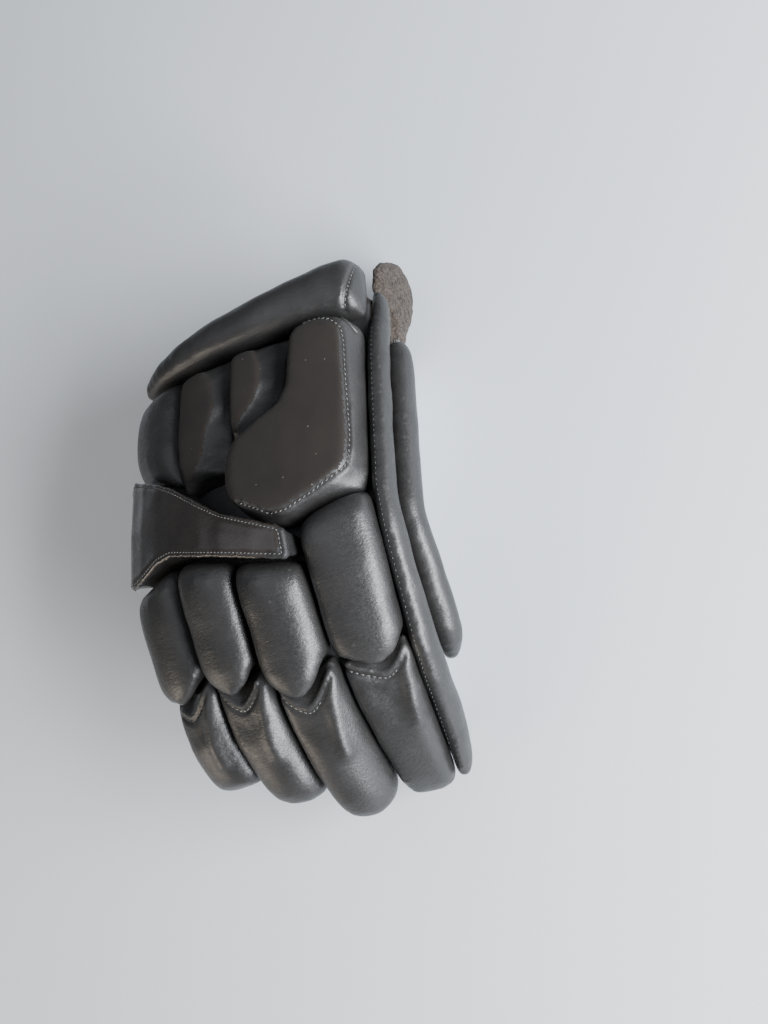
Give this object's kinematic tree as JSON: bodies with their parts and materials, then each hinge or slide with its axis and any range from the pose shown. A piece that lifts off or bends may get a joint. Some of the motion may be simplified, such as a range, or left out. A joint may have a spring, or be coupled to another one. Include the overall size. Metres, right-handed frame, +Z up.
{
  "type": "cricket batting glove",
  "caption": "Left-hand batting glove lying palm down: a hollow hand with finger and thumb stalls under padded rolls, a knuckle cover, back panels, side strip and a towelling wristband.",
  "frame": {"origin": "on the surface the glove lies on, under the centre of its outline", "axes": "+Z up, fingers towards -Y, the thumb on the -X side, the wrist opening towards +Y"},
  "size_m": [0.143, 0.2078, 0.0864],
  "materials": {
    "black_leather": "soft black leather over foam, fine grain, half gloss, creased at the bends",
    "matte_leather": "matte black leather with a suede-like face and stitched edges",
    "glossy_leather": "smooth glossy black leather with a raised stitched rim",
    "base_leather": "thin black leather under the pads, seen only in the gaps",
    "spacer_mesh": "black spacer mesh with rows of small round openings",
    "white_leather": "soft white leather with small staggered perforations",
    "towelling": "dark grey-brown looped towelling"
  },
  "bodies": {
    "root": {"index_roll_proximal": "black_leather", "index_roll_distal": "black_leather", "middle_roll_proximal": "black_leather", "middle_roll_distal": "black_leather", "ring_roll_proximal": "black_leather", "ring_roll_distal": "black_leather", "little_roll_proximal": "black_leather", "little_roll_distal": "black_leather", "back_roll_index": "black_leather", "back_panel_middle": "black_leather", "back_panel_ring": "black_leather", "back_panel_outer": "matte_leather", "knuckle_cover": "glossy_leather", "cuff_roll": "black_leather", "side_strip": "black_leather", "side_bar": "black_leather", "back_leather": "base_leather", "side_gusset": "spacer_mesh", "palm_leather": "white_leather", "thumb_back_leather": "base_leather", "thumb_gusset": "spacer_mesh", "thumb_palm_leather": "white_leather", "thumb_roll_base": "black_leather", "thumb_roll_tip": "black_leather", "wristband": "towelling", "wrist_tab": "towelling"}
  },
  "joints": []
}
